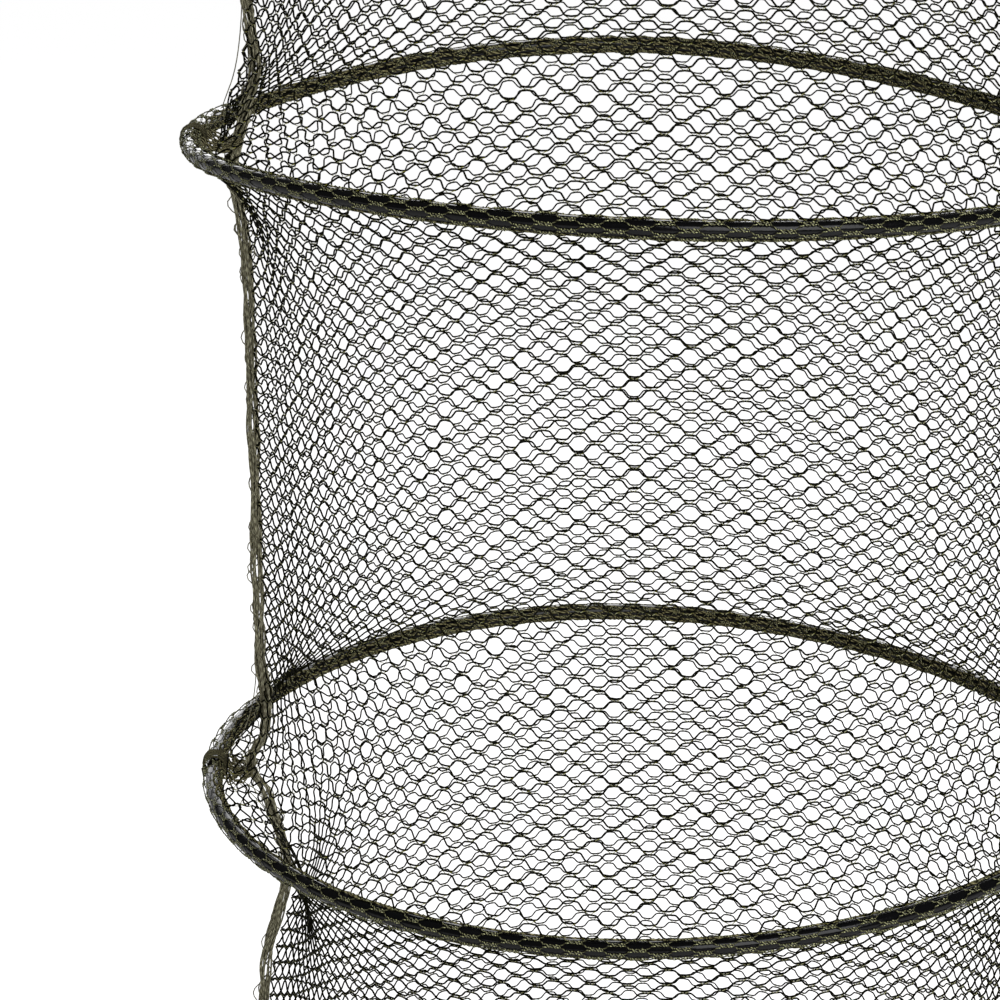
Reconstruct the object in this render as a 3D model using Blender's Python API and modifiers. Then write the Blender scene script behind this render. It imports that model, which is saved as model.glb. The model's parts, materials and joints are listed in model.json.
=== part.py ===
"""Keep net: a hooped tube of netting that hangs from a threaded bank stick fitting.

Metres, +Z up. The origin is on the stud's axis, in the plane where the lock nut meets the bank stick.
The net hangs to the -X side of it, and -Y is its front.
"""
import math

import bmesh
import bpy
from mathutils import Matrix, Vector

# Hoops: plastic rod bent into rings
hoop_radius = 0.200
hoop_rod_radius = 0.0035
hoop_spacing = 0.288
hoop_names = ("mouth_hoop", "hoop_2", "hoop_3", "hoop_4")
hoop_steps = 36
rod_end_gap = 0.0006

# How far each hoop hangs out of true, as shares of the hoop's radius
drift_shares = (0.0, 0.0, 0.05, 0.06)
tilt_shares = (0.0, 0.007, 0.035, 0.0)
lean_shares = (0.0, 0.012, 0.0, 0.0)
saddle_shares = (0.0, -0.026, -0.006, 0.006)
twist_shares = (0.0, 0.001, -0.017, 0.0)
ripple_shares = (0.0, -0.011, -0.008, 0.0)

# Netting: the tube between the hoops, the sleeves round them and the sewn bottom
netting_thickness = 0.0006
waist_share = 0.87
flare_length = 0.014
pinch_depth = 0.016
pinch_drop = 0.048
pinch_reach = 0.038
pinch_angle = math.radians(24)
seam_reach_shares = (0.97, 0.92, 0.965, 0.97)
net_columns = 18
net_rows = 5
net_band = 0.006
bottom_sag = 0.028
bottom_rows = 4

# Side seam, its ties, and the ferrules that join the rods' ends
seam_radius = 0.0022
tie_wall = 0.0011
tie_width = 0.009
ferrule_wall = 0.0015
ferrule_length = 0.056

# Fits
clearance = 0.0003
running_clearance = 0.00015
cut_overrun = 0.002
weld_distance = 0.00002

# Stud with a 3/8 inch thread, and its lock nut
thread_radius = 0.00476
thread_length = 0.016
thread_chamfer = 0.0012
journal_radius = 0.0045
flange_radius = 0.0085
flange_height = 0.0025
lock_nut_radius = 0.0098
lock_nut_height = 0.007
knurl_depth = 0.0005
knurl_count = 30
washer_radius = 0.0080
washer_height = 0.0010
cap_nut_radius = 0.0078
cap_nut_height = 0.0055
cap_dome_height = 0.0045
stud_engagement = 0.0060

# Clamp in two halves, and the flanged bush between them
clamp_height = 0.022
clamp_reach = 0.034
clamp_half_width = 0.019
clamp_cheek = 0.016
clamp_nose_radius = 0.0135
clamp_corner_radius = 0.004
clamp_edge = 0.0012
bush_radius = 0.0068
bush_flange_radius = 0.0095
bush_flange_height = 0.004

# Clamp screws and nuts
screw_radius = 0.0015
screw_head_radius = 0.0028
screw_head_height = 0.0019
screw_key_radius = 0.0012
screw_key_depth = 0.0011
screw_inset = 0.0105
screw_side = 0.0125
nut_corner_radius = 0.00318
nut_height = 0.0024

turned_steps = 24
small_steps = 12
corner_steps = 3

# Places that follow from the sizes above
flange_bottom = lock_nut_height + clearance
clamp_bottom = flange_bottom + flange_height + clearance
clamp_top = clamp_bottom + clamp_height
mouth_height = clamp_bottom + clamp_height / 2
washer_bottom = clamp_top + clearance
cap_nut_bottom = washer_bottom + washer_height + clearance
stud_top = cap_nut_bottom + stud_engagement
net_axis_x = -(hoop_radius + clamp_reach)
sleeve_inner_radius = hoop_rod_radius + clearance
sleeve_outer_radius = sleeve_inner_radius + netting_thickness
tie_inner_radius = sleeve_outer_radius + clearance
tie_outer_radius = tie_inner_radius + tie_wall
ferrule_outer_radius = sleeve_inner_radius + ferrule_wall
edge_clearance = clearance + netting_thickness
section_height = hoop_spacing - 2 * (tie_outer_radius + edge_clearance)

for old in list(bpy.data.objects):
    bpy.data.objects.remove(old, do_unlink=True)

net_parts = bpy.data.collections.new("keep_net")
cutters = bpy.data.collections.new("cutters")
bpy.context.scene.collection.children.link(net_parts)
bpy.context.scene.collection.children.link(cutters)


def make_material(name, colour, roughness, metallic):
    """A plain Principled finish."""
    material = bpy.data.materials.new(name)
    material.use_nodes = True
    shader = material.node_tree.nodes["Principled BSDF"]
    shader.inputs["Base Color"].default_value = (*colour, 1.0)
    shader.inputs["Roughness"].default_value = roughness
    shader.inputs["Metallic"].default_value = metallic
    return material


hoop_black = ("hoop_black", (0.015, 0.015, 0.016), 0.22, 0.0)
ferrule_black = ("ferrule_black", (0.03, 0.03, 0.03), 0.4, 0.0)
olive_netting = ("olive_netting", (0.20, 0.20, 0.09), 0.8, 0.0)
sleeve_netting = ("sleeve_netting", (0.30, 0.31, 0.14), 0.75, 0.0)
seam_twine = ("seam_twine", (0.10, 0.10, 0.05), 0.85, 0.0)
tie_twine = ("tie_twine", (0.06, 0.06, 0.035), 0.85, 0.0)
clamp_plastic = ("clamp_plastic", (0.03, 0.032, 0.03), 0.45, 0.0)
bush_nylon = ("bush_nylon", (0.75, 0.74, 0.68), 0.4, 0.0)
brass = ("brass", (0.78, 0.57, 0.25), 0.28, 1.0)
zinc_steel = ("zinc_steel", (0.62, 0.63, 0.64), 0.32, 1.0)


def finish(name, thing, look, parent):
    """Name a part, give it its own material and hang it under its frame."""
    thing.name = name
    thing.data.name = name
    thing.data.materials.clear()
    thing.data.materials.append(make_material(f"{name}_{look[0]}", *look[1:]))
    thing.parent = parent
    return thing


def new_object(name, data, collection=net_parts):
    thing = bpy.data.objects.new(name, data)
    collection.objects.link(thing)
    return thing


def as_cutter(thing):
    """Move an object to the cutters, where it is only a guide for a cut."""
    for collection in list(thing.users_collection):
        collection.objects.unlink(thing)
    cutters.objects.link(thing)
    thing.hide_render = True
    thing.display_type = "WIRE"
    return thing


def make_frame(name, place, parent=None):
    """An empty that carries the parts of one body; place is in world metres."""
    frame = new_object(name, None)
    frame.empty_display_size = hoop_rod_radius
    frame.parent = parent
    frame.location = Vector(place) - (parent.matrix_world.translation if parent else Vector())
    bpy.context.view_layer.update()
    return frame


def curve_from(name, points, radius, capped=True):
    """A poly curve through the points, thickened to a round rod or an open tube."""
    data = bpy.data.curves.new(name, "CURVE")
    data.dimensions = "3D"
    data.twist_mode = "Z_UP"
    data.bevel_depth = radius
    data.bevel_resolution = 2
    data.use_fill_caps = capped
    spline = data.splines.new("POLY")
    spline.points.add(len(points) - 1)
    for target, point in zip(spline.points, points):
        target.co = (*point, 1.0)
    return new_object(name, data)


def curve_to_mesh(curve, smooth=True):
    """Replace a curve object by its welded mesh."""
    bpy.context.view_layer.update()
    evaluated = curve.evaluated_get(bpy.context.evaluated_depsgraph_get())
    mesh = bpy.data.meshes.new_from_object(evaluated)
    shape = bmesh.new()
    shape.from_mesh(mesh)
    bmesh.ops.remove_doubles(shape, verts=shape.verts, dist=weld_distance)
    shape.to_mesh(mesh)
    shape.free()
    if smooth:
        shade_round(mesh)
    solid = new_object(curve.name, mesh)
    solid.matrix_world = curve.matrix_world
    bpy.data.objects.remove(curve, do_unlink=True)
    return solid


def shade_round(mesh):
    """Smooth shading with sharp corners kept."""
    mesh.shade_smooth()
    mesh.set_sharp_from_angle(angle=math.radians(40))


def solidify(thing, thickness, offset):
    """Give an open surface a wall."""
    wall = thing.modifiers.new("wall", "SOLIDIFY")
    wall.thickness = thickness
    wall.offset = offset
    return thing


def subtract(thing, cutter):
    """Cut one solid with another, exactly."""
    cut = thing.modifiers.new(f"cut_{cutter.name}", "BOOLEAN")
    cut.operation = "DIFFERENCE"
    cut.solver = "EXACT"
    cut.object = as_cutter(cutter)
    return thing


def unite(thing, other):
    """Join one solid to another, exactly."""
    join = thing.modifiers.new(f"join_{other.name}", "BOOLEAN")
    join.operation = "UNION"
    join.solver = "EXACT"
    join.object = as_cutter(other)
    return thing


def turned(name, profile, steps=turned_steps, place=(0, 0, 0), closed=False):
    """A turned solid: the profile's (radius, height) points run down its outer side."""
    shape = bmesh.new()
    verts = [shape.verts.new((radius, 0, height)) for radius, height in profile]
    pairs = list(zip(verts, verts[1:])) + ([(verts[-1], verts[0])] if closed else [])
    for start, end in pairs:
        shape.edges.new((start, end))
    mesh = bpy.data.meshes.new(name)
    shape.to_mesh(mesh)
    shape.free()
    solid = new_object(name, mesh)
    solid.location = place
    screw = solid.modifiers.new("turn", "SCREW")
    screw.steps = steps
    screw.render_steps = steps
    screw.use_merge_vertices = True
    screw.merge_threshold = weld_distance
    screw.use_smooth_shade = False
    return solid


def pin(name, radius, bottom, top, place=(0, 0, 0), sides=turned_steps, turn=0.0):
    """A round or many-sided prism between two heights."""
    shape = bmesh.new()
    middle = Vector((place[0], place[1], (bottom + top) / 2))
    matrix = Matrix.Translation(middle) @ Matrix.Rotation(turn, 4, "Z")
    bmesh.ops.create_cone(
        shape, cap_ends=True, segments=sides, radius1=radius, radius2=radius,
        depth=top - bottom, matrix=matrix)
    mesh = bpy.data.meshes.new(name)
    shape.to_mesh(mesh)
    shape.free()
    return new_object(name, mesh)


def arc_points(centre, radius, start, end, steps):
    """Points on an arc in the XY plane, both ends included."""
    angles = (start + (end - start) * step / steps for step in range(steps + 1))
    return [(centre[0] + radius * math.cos(a), centre[1] + radius * math.sin(a)) for a in angles]


def flat_outline(name, outlines, height, place):
    """A plate with the given closed outlines; those inside another are holes."""
    data = bpy.data.curves.new(name, "CURVE")
    data.dimensions = "2D"
    data.fill_mode = "BOTH"
    data.extrude = height / 2
    for outline in outlines:
        spline = data.splines.new("POLY")
        spline.points.add(len(outline) - 1)
        spline.use_cyclic_u = True
        for target, (x, y) in zip(spline.points, outline):
            target.co = (x, y, 0.0, 1.0)
    plate = new_object(name, data)
    plate.location = place
    return plate


# Where the hoops and the netting lie, each in the frame of its own hoop's centre


def hoop_lift(hoop, angle):
    """Height of a hoop's rod above the hoop's centre: tilt, and the bends of a soft ring."""
    shares = (
        tilt_shares[hoop] * math.cos(angle)
        + lean_shares[hoop] * math.sin(angle)
        + saddle_shares[hoop] * math.cos(2 * angle)
        + twist_shares[hoop] * math.sin(2 * angle)
        + ripple_shares[hoop] * math.sin(3 * angle)
    )
    return hoop_radius * shares


def hoop_corner(hoop, step):
    angle = 2 * math.pi * step / hoop_steps
    return Vector((
        hoop_radius * math.cos(angle), hoop_radius * math.sin(angle), hoop_lift(hoop, angle)))


def hoop_path(hoop, start, end):
    """Points of a hoop's centre line from one angle to another, through its corners."""
    step_angle = 2 * math.pi / hoop_steps
    first, last = start / step_angle, end / step_angle
    corners = range(math.floor(first) + 1, math.ceil(last))

    def between(share):
        low = math.floor(share)
        return hoop_corner(hoop, low).lerp(hoop_corner(hoop, low + 1), share - low)

    return [between(first)] + [hoop_corner(hoop, step) for step in corners] + [between(last)]


def hoop_centre(hoop):
    """World place of a hoop's centre."""
    return Vector((
        net_axis_x + hoop_radius * drift_shares[hoop], 0, mouth_height - hoop * hoop_spacing))


def edge_gap(hoop, angle):
    """How far from a rod's centre line the netting's edge passes, over what the rod carries there."""
    column_pitch = 2 * math.pi * hoop_radius / net_columns
    from_joint = abs(math.remainder(angle, 2 * math.pi)) * hoop_radius
    from_tie = math.pi * hoop_radius - from_joint
    if hoop == 0 and from_joint < clamp_half_width + column_pitch:
        return clamp_height / 2 + edge_clearance
    if hoop > 0 and from_joint < ferrule_length / 2 + column_pitch:
        return ferrule_outer_radius + edge_clearance
    if from_tie < tie_width / 2 + net_band:
        return tie_outer_radius + edge_clearance
    return sleeve_outer_radius + edge_clearance


def net_point(section, angle, drop):
    """A point of a net section, in its upper hoop's frame; drop runs from 0 to 1.

    On the left the seam draws the net in from the hoops, straight across the bend of their rods.
    """
    below = hoop_centre(section + 1) - hoop_centre(section)
    top = hoop_lift(section, angle) - edge_gap(section, angle)
    bottom = below.z + hoop_lift(section + 1, angle) + edge_gap(section + 1, angle)
    distance = min(drop, 1 - drop) * section_height
    flare = math.exp(-distance / flare_length)
    radius = hoop_radius * (waist_share + (1 - waist_share) * flare)
    if section == len(hoop_names) - 2:
        along = (drop * section_height - pinch_drop) / pinch_reach
        around = (angle - math.pi) / pinch_angle
        radius -= pinch_depth * math.exp(-along ** 2 - around ** 2)
    leftward = -math.cos(angle)
    if leftward > 0:
        reach = seam_reach_shares[section] * (1 - drop) + seam_reach_shares[section + 1] * drop
        radius = min(radius, hoop_radius * reach / leftward)
    return Vector((
        radius * math.cos(angle) + below.x * drop,
        radius * math.sin(angle),
        top + (bottom - top) * drop))


def band_drops():
    """How far down a net section each band starts and ends; they lie closer near the hoops' flare."""
    drops = []
    for row in range(net_rows + 1):
        share = row / net_rows
        eased = (1 - math.cos(math.pi * share)) / 2
        start = (share + eased) / 2 * (section_height - net_band)
        drops += [start / section_height, (start + net_band) / section_height]
    return drops


def upright_angles():
    """Where each upright strip of a net section starts and ends, once round and back to the first."""
    half_width = net_band / 2 / hoop_radius
    angles = []
    for column in range(net_columns + 1):
        middle = 2 * math.pi * column / net_columns
        angles += [middle - half_width, middle + half_width]
    return angles[:-1]


# Hoop parts


def add_hoop_rod(hoop, parent):
    """A rod bent round, its ends a hair apart."""
    half_gap = rod_end_gap / 2 / hoop_radius
    points = hoop_path(hoop, half_gap, 2 * math.pi - half_gap)
    rod = curve_to_mesh(curve_from(hoop_names[hoop], points, hoop_rod_radius))
    return finish(hoop_names[hoop], rod, hoop_black, parent)


def add_tube_on_hoop(name, hoop, start, end, inner_radius, wall, look, parent):
    """An open-ended tube that follows a hoop's rod from one angle to another."""
    points = hoop_path(hoop, start, end)
    tube = curve_to_mesh(curve_from(name, points, inner_radius + wall, capped=False))
    solidify(tube, wall, -1)
    return finish(name, tube, look, parent)


def add_hoop_dressing(hoop, parent, joint_half_width):
    """The netting sleeve round the rod, and the tie of the side seam."""
    name = hoop_names[hoop]
    start = math.asin((joint_half_width + clearance) / (hoop_radius - sleeve_outer_radius))
    add_tube_on_hoop(
        f"{name}_sleeve", hoop, start, 2 * math.pi - start, sleeve_inner_radius,
        netting_thickness, sleeve_netting, parent)
    half_tie = tie_width / 2 / hoop_radius
    add_tube_on_hoop(
        f"{name}_seam_tie", hoop, math.pi - half_tie, math.pi + half_tie,
        tie_inner_radius, tie_wall, tie_twine, parent)


def add_ferrule(hoop, parent):
    """The short tube that joins the ends of a hoop's rod."""
    half_angle = ferrule_length / 2 / hoop_radius
    add_tube_on_hoop(
        f"{hoop_names[hoop]}_ferrule", hoop, -half_angle, half_angle,
        sleeve_inner_radius, ferrule_wall, ferrule_black, parent)


# Netting parts


def add_net_section(section, parent):
    """The netting between one hoop and the next, as a thin tube with a plain grid of openings."""
    name = f"net_section_{section + 1}"
    angles, drops = upright_angles(), band_drops()
    across, down = len(angles) - 1, len(drops) - 1
    sheet = bmesh.new()
    bmesh.ops.create_grid(sheet, x_segments=across, y_segments=down, size=1)
    openings = []
    for face in sheet.faces:
        middle = face.calc_center_median()
        column = math.floor((1 + middle.x) / 2 * across)
        row = math.floor((1 - middle.y) / 2 * down)
        if column % 2 and row % 2:
            openings.append(face)
    bmesh.ops.delete(sheet, geom=openings, context="FACES")
    for vert in sheet.verts:
        column = round((1 + vert.co.x) / 2 * across)
        row = round((1 - vert.co.y) / 2 * down)
        vert.co = net_point(section, angles[column], drops[row])
    bmesh.ops.remove_doubles(sheet, verts=sheet.verts, dist=weld_distance)
    mesh = bpy.data.meshes.new(name)
    sheet.to_mesh(mesh)
    sheet.free()
    shade_round(mesh)
    tube = solidify(new_object(name, mesh), netting_thickness, -1)
    return finish(name, tube, olive_netting, parent)


def offset_beside(corners, offset):
    """A path moved outward on the left of the net, a constant distance from the given corners."""
    outward = []
    for start, end in zip(corners, corners[1:]):
        along = end - start
        outward.append(Vector((along.z, 0, -along.x)).normalized())
    moved = []
    for corner, before, after in zip(corners, outward[:1] + outward, outward + outward[-1:]):
        bisector = (before + after).normalized()
        moved.append(corner + bisector * offset / bisector.dot(before))
    return moved


def add_side_seam(section, parent):
    """The bunched seam down the left of a section, just outside the netting, with its ends at the ties."""
    name = f"side_seam_{section + 1}"
    corners = [net_point(section, math.pi, drop) for drop in band_drops()]
    points = offset_beside(corners, seam_radius + clearance)
    from_rod = tie_outer_radius + clearance + seam_radius
    below = hoop_centre(section + 1) - hoop_centre(section)
    points[0].z = hoop_lift(section, math.pi) - from_rod
    points[-1].z = below.z + hoop_lift(section + 1, math.pi) + from_rod
    end_x = -hoop_radius - hoop_rod_radius
    points.insert(0, Vector((end_x, 0, points[0].z)))
    points.append(Vector((end_x + below.x, 0, points[-1].z)))
    seam = curve_to_mesh(curve_from(name, points, seam_radius))
    return finish(name, seam, seam_twine, parent)


def add_bottom_net(hoop, parent):
    """The sewn bottom, a sagging disc of netting inside the last hoop."""
    rim = hoop_radius - tie_outer_radius - clearance - netting_thickness
    profile = []
    for row in range(bottom_rows + 1):
        radius = rim * row / bottom_rows
        profile.append((radius, -bottom_sag * (1 - (row / bottom_rows) ** 2)))
    disc = turned("bottom_net", profile[::-1], steps=hoop_steps)
    bpy.context.view_layer.update()
    evaluated = disc.evaluated_get(bpy.context.evaluated_depsgraph_get())
    mesh = bpy.data.meshes.new_from_object(evaluated)
    bpy.data.objects.remove(disc, do_unlink=True)
    for vert in mesh.vertices:
        angle = math.atan2(vert.co.y, vert.co.x)
        vert.co.z += hoop_lift(hoop, angle) * math.hypot(vert.co.x, vert.co.y) / hoop_radius
    shade_round(mesh)
    solid = solidify(new_object("bottom_net", mesh), netting_thickness, 0)
    return finish("bottom_net", solid, olive_netting, parent)


# Fitting parts


def add_stud():
    """Threaded end, flange, journal through the bush, and the top end in the cap nut."""
    profile = [
        (0, stud_top),
        (journal_radius - thread_chamfer, stud_top),
        (journal_radius, stud_top - thread_chamfer),
        (journal_radius, flange_bottom + flange_height),
        (flange_radius, flange_bottom + flange_height),
        (flange_radius, flange_bottom),
        (thread_radius, flange_bottom),
        (thread_radius, thread_chamfer - thread_length),
        (thread_radius - thread_chamfer, -thread_length),
        (0, -thread_length),
    ]
    return finish("threaded_stud", turned("threaded_stud", profile), brass, None)


def add_lock_nut():
    """A knurled ring on the stud's thread."""
    count = 2 * knurl_count
    rim = []
    for step in range(count):
        angle = 2 * math.pi * step / count
        radius = lock_nut_radius - knurl_depth * (step % 2)
        rim.append((radius * math.cos(angle), radius * math.sin(angle)))
    bore = arc_points((0, 0), thread_radius + clearance, 0, 2 * math.pi, turned_steps)[:-1]
    nut = flat_outline("lock_nut", [rim, bore], lock_nut_height, (0, 0, lock_nut_height / 2))
    return finish("lock_nut", curve_to_mesh(nut, smooth=False), brass, None)


def add_washer():
    """A flat ring between the clamp and the cap nut."""
    bore = journal_radius + clearance
    low, high = washer_bottom, washer_bottom + washer_height
    profile = [(bore, high), (washer_radius, high), (washer_radius, low), (bore, low)]
    return finish("stud_washer", turned("stud_washer", profile, closed=True), zinc_steel, None)


def add_cap_nut():
    """A domed hexagon nut that holds the stud in the clamp."""
    dome_foot = cap_nut_bottom + cap_nut_height
    nut = pin("cap_nut", cap_nut_radius, cap_nut_bottom, dome_foot, sides=6)
    flats = cap_nut_radius * math.cos(math.pi / 6)
    dome_radius = flats - thread_chamfer / 2
    sink = thread_chamfer
    dome = []
    for step in range(corner_steps + 2):
        angle = math.pi / 2 * (1 - step / (corner_steps + 1))
        dome.append((
            dome_radius * math.cos(angle) if step else 0,
            dome_foot + cap_dome_height * math.sin(angle)))
    dome += [(dome_radius, dome_foot - sink), (0, dome_foot - sink)]
    unite(nut, turned("cap_nut_dome", dome))
    hole = pin(
        "cap_nut_hole", journal_radius + clearance, cap_nut_bottom - cut_overrun,
        stud_top + clearance)
    subtract(nut, hole)
    return finish("cap_nut", nut, brass, None)


def bush_profile(grow):
    """Outline of the flanged bush, grown by a clearance for its seat."""
    middle = mouth_height
    barrel = bush_radius + grow
    flange = bush_flange_radius + grow
    half = bush_flange_height / 2 + grow
    end = clamp_height / 2 + (cut_overrun if grow else 0)
    bore = 0 if grow else journal_radius + running_clearance
    return [
        (bore, middle + end), (barrel, middle + end), (barrel, middle + half),
        (flange, middle + half), (flange, middle - half), (barrel, middle - half),
        (barrel, middle - end), (bore, middle - end),
    ]


def add_bush(parent):
    """The nylon bush in which the stud turns."""
    bush = turned("swivel_bush", bush_profile(0), closed=True)
    return finish("swivel_bush", bush, bush_nylon, parent)


def clamp_outline():
    """Plan of the clamp: a round nose about the stud, and a block across the hoop's rod."""
    back = -clamp_reach - clamp_cheek
    front = clamp_cheek - clamp_reach
    corner, half = clamp_corner_radius, clamp_half_width
    quarter = math.pi / 2
    nose = arc_points((0, 0), clamp_nose_radius, -quarter, quarter, turned_steps // 2)
    outline = list(nose)
    for x, y, start in (
        (front - corner, half - corner, 0.0),
        (back + corner, half - corner, quarter),
        (back + corner, corner - half, 2 * quarter),
        (front - corner, corner - half, 3 * quarter),
    ):
        outline += arc_points((x, y), corner, start, start + quarter, corner_steps)
    return outline


def screw_places():
    """Plan positions of the four clamp screws, either side of the rod."""
    columns = (-clamp_reach - screw_inset, -clamp_reach + screw_inset)
    return [(x, y) for x in columns for y in (-screw_side, screw_side)]


def add_clamp_half(name, low, high, parent):
    """Half of the clamp, cut for the rod, the bush, the screws and the nuts."""
    plate = flat_outline(name, [clamp_outline()], high - low, (0, 0, (low + high) / 2))
    half = curve_to_mesh(plate, smooth=False)
    edge = half.modifiers.new("edge", "BEVEL")
    edge.width = clamp_edge
    edge.segments = 1
    edge.limit_method = "ANGLE"
    edge.angle_limit = math.radians(60)
    channel_angle = (clamp_half_width + cut_overrun) / hoop_radius
    channel = curve_to_mesh(curve_from(
        f"{name}_channel", hoop_path(0, -channel_angle, channel_angle), sleeve_inner_radius))
    channel.location = hoop_centre(0)
    subtract(half, channel)
    subtract(half, turned(f"{name}_seat", bush_profile(clearance)))
    for number, place in enumerate(screw_places(), 1):
        hole = pin(
            f"{name}_hole_{number}", screw_radius + clearance, low - cut_overrun,
            high + cut_overrun, place, small_steps)
        subtract(half, hole)
        if high == clamp_top:
            pocket = pin(
                f"{name}_pocket_{number}", screw_head_radius + clearance,
                clamp_top - screw_head_height - clearance, high + cut_overrun, place, small_steps)
        else:
            pocket = pin(
                f"{name}_pocket_{number}", nut_corner_radius + clearance, low - cut_overrun,
                clamp_bottom + nut_height + clearance, place, 6)
        subtract(half, pocket)
    return finish(name, half, clamp_plastic, parent)


def add_screw(number, place, parent):
    """A socket head screw from above."""
    name = f"clamp_screw_{number}"
    head_top = clamp_top
    head_low = head_top - screw_head_height
    tip = clamp_bottom + clearance
    crown = screw_head_height / 3
    profile = [
        (0, head_top), (screw_head_radius - crown, head_top), (screw_head_radius, head_top - crown),
        (screw_head_radius, head_low), (screw_radius, head_low), (screw_radius, tip), (0, tip),
    ]
    screw = turned(name, profile, small_steps, (*place, 0))
    key = pin(
        f"{name}_key", screw_key_radius, head_top - screw_key_depth, head_top + cut_overrun,
        place, 6)
    subtract(screw, key)
    return finish(name, screw, zinc_steel, parent)


def add_nut(number, place, parent):
    """A hexagon nut in its pocket under the clamp."""
    name = f"clamp_nut_{number}"
    nut = pin(name, nut_corner_radius, clamp_bottom, clamp_bottom + nut_height, place, 6)
    hole = pin(
        f"{name}_hole", screw_radius + clearance, clamp_bottom - cut_overrun,
        clamp_bottom + nut_height + cut_overrun, place, small_steps)
    subtract(nut, hole)
    return finish(name, nut, zinc_steel, parent)


# Fitting that the bank stick holds
add_stud()
add_lock_nut()
add_washer()
add_cap_nut()

# Mouth: the clamp turns on the stud and carries the first hoop
swivel_frame = make_frame("swivel_frame", (0, 0, 0))
add_bush(swivel_frame)
parting = clearance / 2
add_clamp_half("clamp_top", mouth_height + parting, clamp_top, swivel_frame)
add_clamp_half("clamp_bottom", clamp_bottom, mouth_height - parting, swivel_frame)
for number, place in enumerate(screw_places(), 1):
    add_screw(number, place, swivel_frame)
    add_nut(number, place, swivel_frame)

# Hoops, each in a frame that slides under the one above
hoop_frame = swivel_frame
last_hoop = len(hoop_names) - 1
for hoop, hoop_name in enumerate(hoop_names):
    hoop_frame = make_frame(f"{hoop_name}_frame", hoop_centre(hoop), hoop_frame)
    add_hoop_rod(hoop, hoop_frame)
    if hoop == 0:
        add_hoop_dressing(hoop, hoop_frame, clamp_half_width)
    else:
        add_ferrule(hoop, hoop_frame)
        add_hoop_dressing(hoop, hoop_frame, ferrule_length / 2)
    if hoop < last_hoop:
        add_net_section(hoop, hoop_frame)
        add_side_seam(hoop, hoop_frame)
    else:
        add_bottom_net(hoop, hoop_frame)

bpy.context.view_layer.update()
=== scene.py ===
"""Keep net: the looks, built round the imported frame.

Metres, +Z up, in the part's own frame. The net hangs on the -X side of the stud, and -Y is its front.
"""
import json
import math

import bmesh
import bpy
import numpy as np
from mathutils import Matrix, Vector


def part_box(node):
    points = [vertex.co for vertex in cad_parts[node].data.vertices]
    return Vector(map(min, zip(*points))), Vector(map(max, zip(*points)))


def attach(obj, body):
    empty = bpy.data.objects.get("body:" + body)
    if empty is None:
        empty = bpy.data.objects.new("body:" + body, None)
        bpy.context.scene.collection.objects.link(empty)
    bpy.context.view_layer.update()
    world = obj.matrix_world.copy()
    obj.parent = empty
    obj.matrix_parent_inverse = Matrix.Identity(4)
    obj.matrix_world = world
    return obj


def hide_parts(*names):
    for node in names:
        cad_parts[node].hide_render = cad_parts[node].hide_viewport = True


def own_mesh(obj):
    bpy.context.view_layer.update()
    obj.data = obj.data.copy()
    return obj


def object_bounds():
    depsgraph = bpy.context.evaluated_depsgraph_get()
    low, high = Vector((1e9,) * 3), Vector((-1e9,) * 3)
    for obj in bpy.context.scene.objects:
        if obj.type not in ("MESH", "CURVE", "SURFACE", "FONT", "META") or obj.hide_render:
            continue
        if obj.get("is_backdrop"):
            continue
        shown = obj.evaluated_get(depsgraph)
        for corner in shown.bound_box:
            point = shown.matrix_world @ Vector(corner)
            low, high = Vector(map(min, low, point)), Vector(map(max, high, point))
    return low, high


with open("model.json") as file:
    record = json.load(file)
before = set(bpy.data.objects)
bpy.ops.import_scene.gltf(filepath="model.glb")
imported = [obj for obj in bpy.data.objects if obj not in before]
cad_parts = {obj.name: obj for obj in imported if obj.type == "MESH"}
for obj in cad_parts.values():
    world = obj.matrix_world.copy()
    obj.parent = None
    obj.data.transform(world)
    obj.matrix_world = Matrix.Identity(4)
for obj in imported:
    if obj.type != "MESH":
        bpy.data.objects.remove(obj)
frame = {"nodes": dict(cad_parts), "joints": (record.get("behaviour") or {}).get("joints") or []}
cad_low, cad_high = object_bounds()
joints = {joint["name"]: joint for joint in frame["joints"]}

# Camera
# It stands in front of the net, a little lower than the mouth hoop, and looks down on the second
# section through a long lens, with the slight lean of the photograph.
def add_object(name, data):
    """Puts a mesh, a camera or a lamp in the scene."""
    added = bpy.data.objects.new(name, data)
    bpy.context.scene.collection.objects.link(added)
    return added


camera_place = Vector((-0.3115, -1.300, -0.0381))
camera_pan = math.radians(-0.628)
camera_pitch = math.radians(16.884)
camera_roll = math.radians(1.755)
camera = add_object("camera", bpy.data.cameras.new("camera"))
camera.data.lens = 109.64
camera.data.sensor_width = 36.0
camera.matrix_world = (
    Matrix.Translation(camera_place)
    @ Matrix.Rotation(camera_pan, 4, "Z")
    @ Matrix.Rotation(math.pi / 2 - camera_pitch, 4, "X")
    @ Matrix.Rotation(camera_roll, 4, "Z"))
bpy.context.scene.camera = camera


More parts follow.
